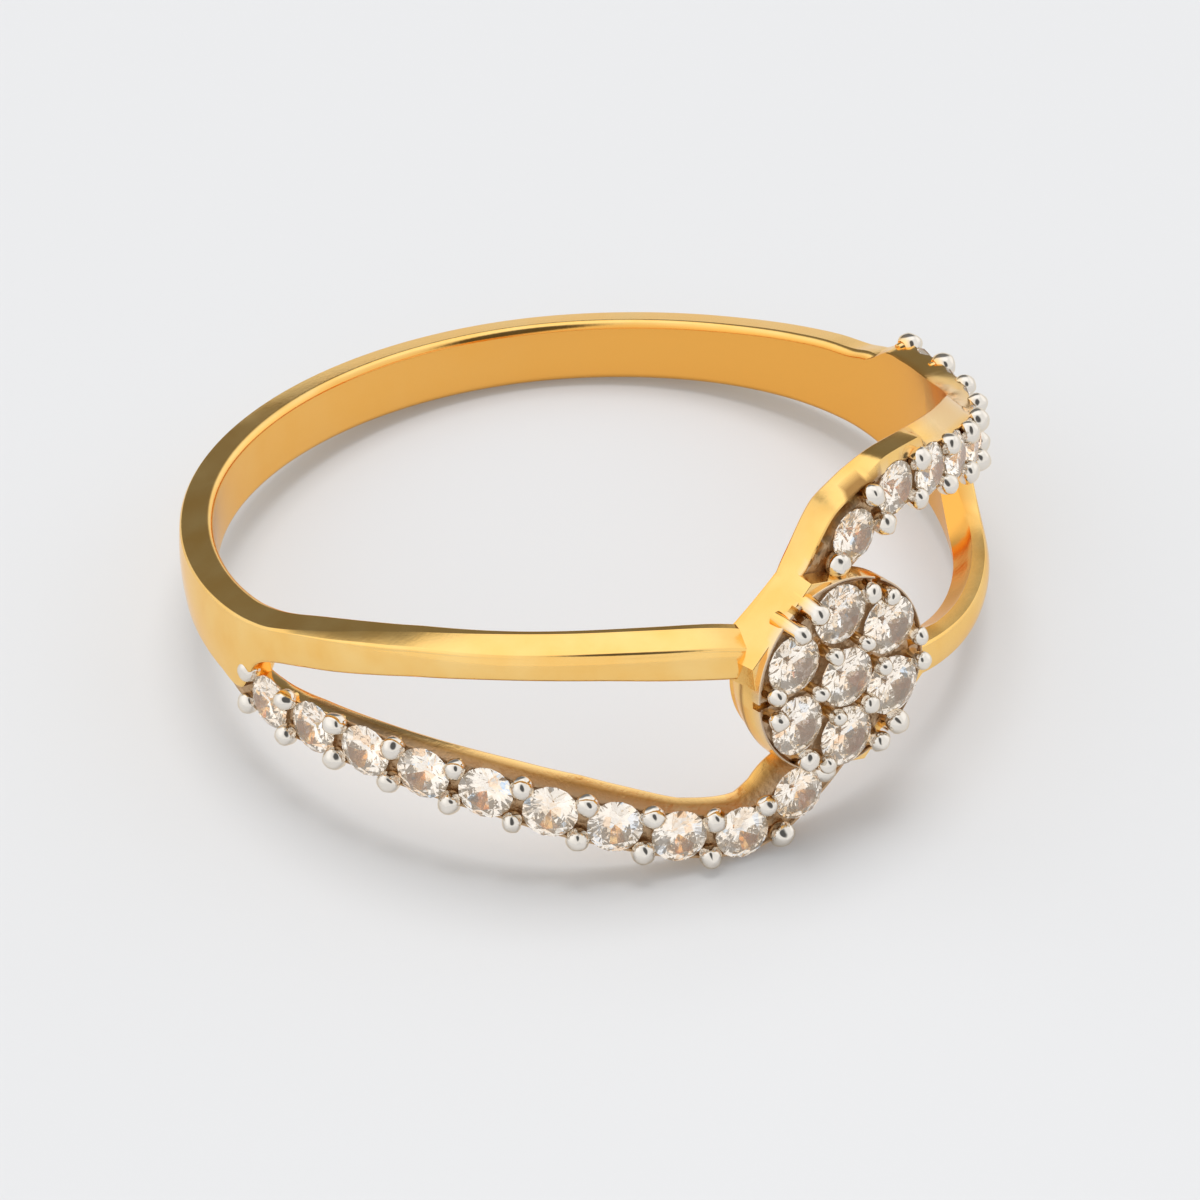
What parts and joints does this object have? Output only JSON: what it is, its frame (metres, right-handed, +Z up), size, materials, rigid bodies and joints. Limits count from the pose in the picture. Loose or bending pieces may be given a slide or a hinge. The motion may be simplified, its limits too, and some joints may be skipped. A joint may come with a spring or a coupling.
{
  "type": "cubic zirconia ring",
  "caption": "Finger ring: a gold band parts into a plain arm and a stone-set arm on each side, and the arms cross over to carry a round cluster of clear stones.",
  "frame": {"origin": "centre of the finger hole, half way along its axis", "axes": "+Z up from the surface that the ring lies on; the round head faces -Y and leans up, so the finger hole's axis leans from +Z towards +Y and a little towards +X"},
  "size_m": [0.0193, 0.0199, 0.0083],
  "materials": {
    "gold": "polished yellow gold, with whitened prongs",
    "cubic_zirconia": "clear faceted cubic zirconia"
  },
  "bodies": {
    "root": {"band": "gold", "left_stone_1": "cubic_zirconia", "left_stone_2": "cubic_zirconia", "left_stone_3": "cubic_zirconia", "left_stone_4": "cubic_zirconia", "left_stone_5": "cubic_zirconia", "left_stone_6": "cubic_zirconia", "left_stone_7": "cubic_zirconia", "left_stone_8": "cubic_zirconia", "left_stone_9": "cubic_zirconia", "left_stone_10": "cubic_zirconia", "right_stone_1": "cubic_zirconia", "right_stone_2": "cubic_zirconia", "right_stone_3": "cubic_zirconia", "right_stone_4": "cubic_zirconia", "right_stone_5": "cubic_zirconia", "right_stone_6": "cubic_zirconia", "right_stone_7": "cubic_zirconia", "right_stone_8": "cubic_zirconia", "right_stone_9": "cubic_zirconia", "head_stone_0": "cubic_zirconia", "head_stone_1": "cubic_zirconia", "head_stone_2": "cubic_zirconia", "head_stone_3": "cubic_zirconia", "head_stone_4": "cubic_zirconia", "head_stone_5": "cubic_zirconia", "head_stone_6": "cubic_zirconia"}
  },
  "joints": []
}
